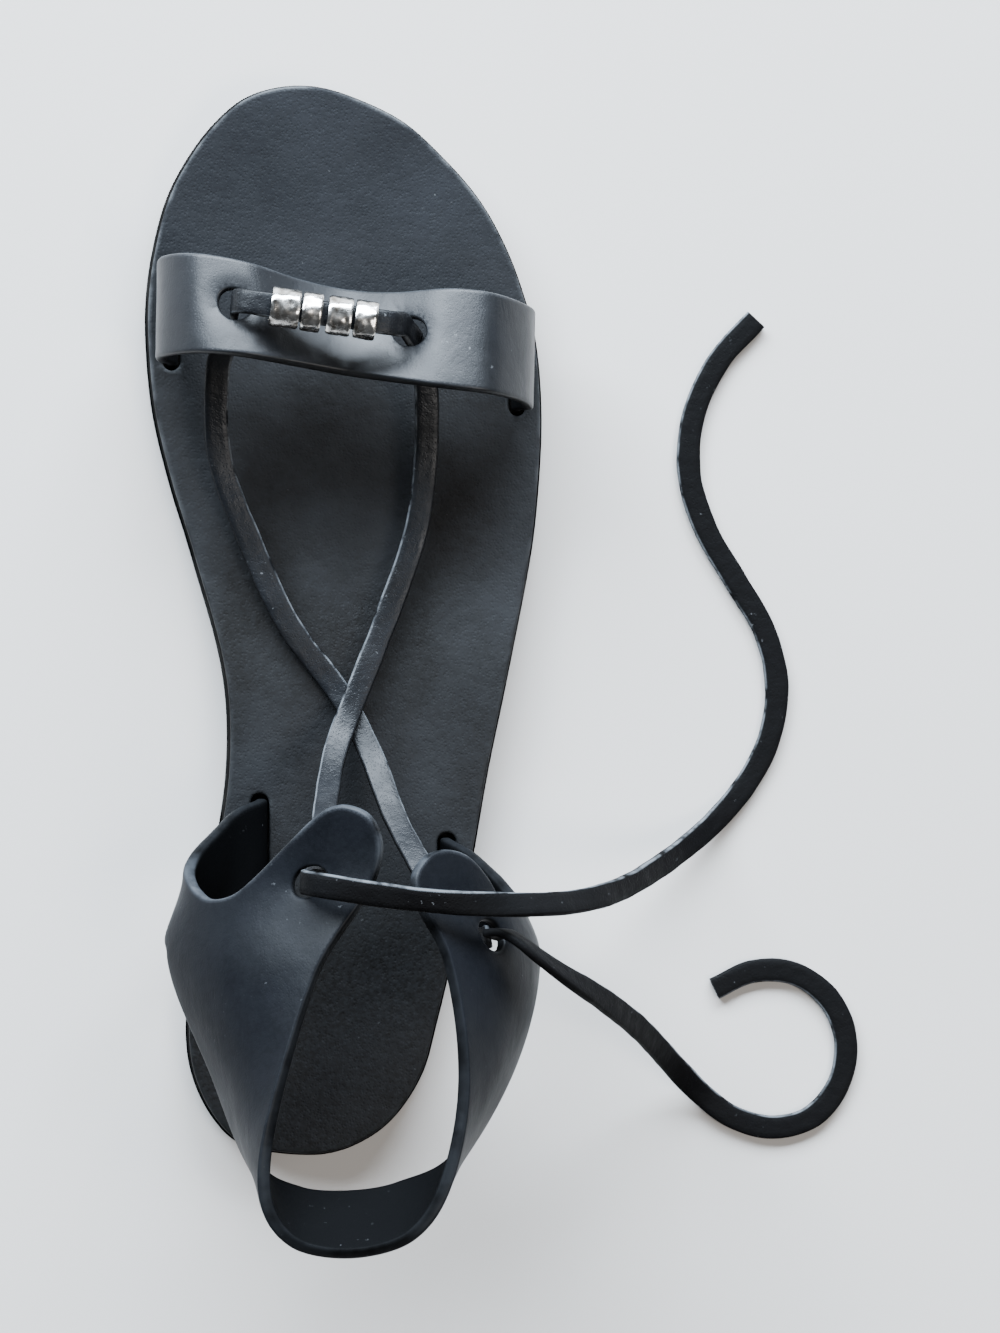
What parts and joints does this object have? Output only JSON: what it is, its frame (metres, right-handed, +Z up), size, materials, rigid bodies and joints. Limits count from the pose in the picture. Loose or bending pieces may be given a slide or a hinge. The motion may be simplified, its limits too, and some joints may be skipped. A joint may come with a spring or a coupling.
{
  "type": "lace-up leather sandal",
  "caption": "Flat right-foot leather sandal: toe strap with metal tube beads on a lace that crosses the instep, and a heel piece with two lace tabs.",
  "frame": {"origin": "on the ground under the middle of the heel tread, 40 mm ahead of the heel's end", "axes": "+Y to the toe, +X to the little-toe side of the right foot, +Z up from the ground"},
  "size_m": [0.1691, 0.2639, 0.0775],
  "materials": {
    "outsole_rubber": "matte black, finely ribbed edge",
    "footbed_leather": "matte charcoal leather, worn",
    "strap_leather": "satin blue-black leather",
    "lace_leather": "satin black leather lace",
    "bead_metal": "hammered polished metal"
  },
  "bodies": {
    "sandal": {"outsole": "outsole_rubber", "footbed": "footbed_leather", "toe_strap": "strap_leather", "heel_piece": "strap_leather", "lace_bar": "lace_leather", "lace_cross": "lace_leather", "lace_end_medial": "lace_leather", "lace_end_lateral": "lace_leather"},
    "bead_1": {"bead_1": "bead_metal"},
    "bead_2": {"bead_2": "bead_metal"},
    "bead_3": {"bead_3": "bead_metal"},
    "bead_4": {"bead_4": "bead_metal"}
  },
  "joints": [
    {"name": "bead_1_slide", "type": "slide", "parent": "sandal", "child": "bead_1", "axis": [0.99, -0.141, 0], "range_m": [-0.002, 0.00025]},
    {"name": "bead_2_slide", "type": "slide", "parent": "sandal", "child": "bead_2", "axis": [0.99, -0.141, 0], "range_m": [-0.0002, 0.0006]},
    {"name": "bead_3_slide", "type": "slide", "parent": "sandal", "child": "bead_3", "axis": [0.99, -0.141, 0], "range_m": [-0.0006, 0.0003]},
    {"name": "bead_4_slide", "type": "slide", "parent": "sandal", "child": "bead_4", "axis": [0.99, -0.141, 0], "range_m": [-0.0003, 0.001]}
  ]
}
